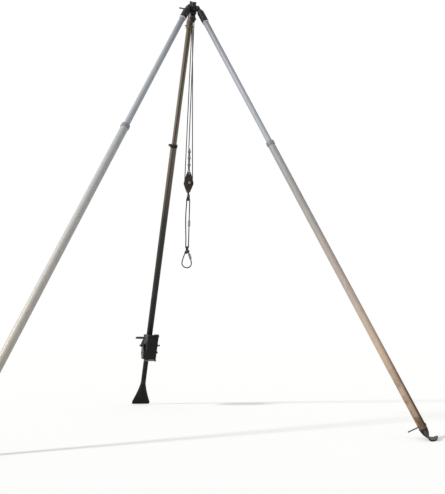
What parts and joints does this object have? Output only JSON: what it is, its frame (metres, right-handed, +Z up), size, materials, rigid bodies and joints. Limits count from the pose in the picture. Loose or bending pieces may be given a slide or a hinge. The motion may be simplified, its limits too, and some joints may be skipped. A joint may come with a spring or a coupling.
{
  "type": "pole erector",
  "caption": "Tripod derrick with telescopic legs and blade feet, a rope tackle under its crown, and a geared hand winch on the rear leg, for standing poles upright.",
  "frame": {"origin": "on the ground, at the middle of the footprint of the three feet", "axes": "+Z is up, +Y points towards the rear leg that carries the winch, +X to the right seen from the open front side"},
  "size_m": [5.0056, 4.3738, 5.404],
  "materials": {
    "black_paint": "satin black paint",
    "silver_tube": "drawn, matt",
    "beige_tube": "drawn, matt, warm grey",
    "brown_tube": "drawn, matt, weathered",
    "bolt_steel": "zinc plated",
    "block_paint": "dark paint",
    "sheave_steel": "turned",
    "wire_rope": "oiled wire rope",
    "ferrule_alloy": "pressed",
    "bush_brass": "turned",
    "gear_steel": "greased",
    "grip_plastic": "matt black"
  },
  "bodies": {
    "head": {"crown": "black_paint", "crown_bolts": "black_paint", "upper_block_cheeks": "block_paint", "upper_block_pins": "bolt_steel", "upper_rope_turns": "wire_rope", "hoist_falls": "wire_rope"},
    "left_upper": {"left_socket": "black_paint", "left_upper_tube": "silver_tube"},
    "left_lower": {"left_collar": "silver_tube", "left_collar_bolt": "bolt_steel", "left_lower_tube": "beige_tube", "left_foot": "black_paint", "left_foot_pin": "bolt_steel"},
    "right_upper": {"right_socket": "black_paint", "right_upper_tube": "silver_tube"},
    "right_lower": {"right_collar": "silver_tube", "right_collar_bolt": "bolt_steel", "right_lower_tube": "beige_tube", "right_foot": "black_paint", "right_foot_pin": "bolt_steel"},
    "rear_upper": {"rear_socket": "brown_tube", "rear_upper_tube": "brown_tube", "lead_line_upper": "wire_rope"},
    "rear_lower": {"rear_collar": "black_paint", "rear_collar_bolt": "bolt_steel", "rear_lower_tube": "brown_tube", "rear_foot": "black_paint", "rear_foot_pin": "bolt_steel", "rear_shank": "black_paint", "lead_line_lower": "wire_rope", "winch_side_plates": "black_paint", "winch_rods": "bolt_steel", "winch_mount_bars": "black_paint", "winch_u_bolts": "bolt_steel", "winch_bushes": "bush_brass"},
    "drum": {"winch_drum": "black_paint", "drum_shaft": "gear_steel", "drum_gear": "gear_steel", "drum_rope_core": "wire_rope", "drum_rope_turns": "wire_rope"},
    "crank": {"pinion_shaft": "gear_steel", "ratchet_wheel": "gear_steel", "crank_arm": "black_paint"},
    "grip": {"crank_grip": "grip_plastic"},
    "pawl": {"pawl": "gear_steel"},
    "lower_block": {"lower_block_cheeks": "block_paint", "lower_block_pins": "bolt_steel", "lower_rope_turns": "wire_rope", "becket_thimble": "sheave_steel", "rope_clips": "bolt_steel", "hook_crosshead": "block_paint"},
    "fall_sheave": {"fall_sheave": "sheave_steel"},
    "lead_sheave": {"lead_sheave": "sheave_steel"},
    "lower_sheave": {"lower_sheave": "sheave_steel"},
    "hook": {"swivel_hook": "block_paint"},
    "latch": {"hook_latch": "gear_steel"},
    "sling": {"strop": "wire_rope", "noose": "wire_rope", "sling_ferrules": "ferrule_alloy", "choker_shackle": "block_paint"}
  },
  "joints": [
    {"name": "left_fold", "type": "hinge", "parent": "head", "child": "left_upper", "pos_m": [-0.06495, -0.71813, 5.3], "axis": [0.5, -0.866, 0], "range_deg": [0, 17]},
    {"name": "left_extend", "type": "slide", "parent": "left_upper", "child": "left_lower", "axis": [-0.3932, -0.227, -0.891], "range_m": [-1.6, 0.4]},
    {"name": "right_fold", "type": "hinge", "parent": "head", "child": "right_upper", "pos_m": [0.06495, -0.71813, 5.3], "axis": [0.5, 0.866, 0], "range_deg": [0, 17]},
    {"name": "right_extend", "type": "slide", "parent": "right_upper", "child": "right_lower", "axis": [0.3932, -0.227, -0.891], "range_m": [-1.6, 0.4]},
    {"name": "rear_fold", "type": "hinge", "parent": "head", "child": "rear_upper", "pos_m": [0, -0.60563, 5.3], "axis": [-1, 0, 0], "range_deg": [0, 16], "deforming": ["lead_line_upper"]},
    {"name": "rear_extend", "type": "slide", "parent": "rear_upper", "child": "rear_lower", "axis": [0, 0.454, -0.891], "range_m": [-0.4, 0.4], "deforming": ["lead_line_lower"]},
    {"name": "drum_turn", "type": "hinge", "parent": "rear_lower", "child": "drum", "pos_m": [0, 1.47767, 0.82581], "axis": [-1, 0, 0], "range_deg": [-2160, 2160], "deforming": ["drum_rope_turns"]},
    {"name": "crank_turn", "type": "hinge", "parent": "rear_lower", "child": "crank", "pos_m": [0, 1.42319, 0.93273], "axis": [-1, 0, 0], "range_deg": [-8650, 8650]},
    {"name": "grip_spin", "type": "hinge", "parent": "crank", "child": "grip", "pos_m": [-0.2, 1.20044, 1.04623], "axis": [-1, 0, 0], "continuous": true},
    {"name": "pawl_lift", "type": "hinge", "parent": "rear_lower", "child": "pawl", "pos_m": [0.094, 1.35723, 0.93043], "axis": [1, 0, 0], "range_deg": [0, 40]},
    {"name": "hoist", "type": "slide", "parent": "head", "child": "lower_block", "axis": [0, 0, 1], "range_m": [-1.08, 1.08], "deforming": ["hoist_falls"]},
    {"name": "fall_sheave_turn", "type": "hinge", "parent": "head", "child": "fall_sheave", "pos_m": [0.0125, -0.68063, 5.167], "axis": [-1, 0, 0], "range_deg": [-1600, 1600]},
    {"name": "lead_sheave_turn", "type": "hinge", "parent": "head", "child": "lead_sheave", "pos_m": [-0.0125, -0.68063, 5.167], "axis": [-1, 0, 0], "range_deg": [-4700, 4700]},
    {"name": "lower_sheave_turn", "type": "hinge", "parent": "lower_block", "child": "lower_sheave", "pos_m": [0, -0.68063, 2.965], "axis": [0, 1, 0], "range_deg": [-2500, 2500]},
    {"name": "hook_swivel", "type": "hinge", "parent": "lower_block", "child": "hook", "pos_m": [0, -0.68063, 2.868], "axis": [0, 0, 1], "continuous": true},
    {"name": "latch_open", "type": "hinge", "parent": "hook", "child": "latch", "pos_m": [0, -0.66163, 2.836], "axis": [-1, 0, 0], "range_deg": [0, 28], "stiffness_Nm_per_rad": 0.05, "springref_deg": -20.05},
    {"name": "sling_swing", "type": "hinge", "parent": "hook", "child": "sling", "pos_m": [0, -0.68063, 2.752], "axis": [0, 1, 0], "range_deg": [-15, 15]}
  ],
  "couplings": [
    {"joint": "crank_turn", "follows": "drum_turn", "ratio": -4},
    {"joint": "hoist", "follows": "drum_turn", "m_per_rad": 0.028267},
    {"joint": "fall_sheave_turn", "follows": "drum_turn", "ratio": 0.70667},
    {"joint": "lead_sheave_turn", "follows": "drum_turn", "ratio": 2.12},
    {"joint": "lower_sheave_turn", "follows": "drum_turn", "ratio": 1.1307}
  ]
}
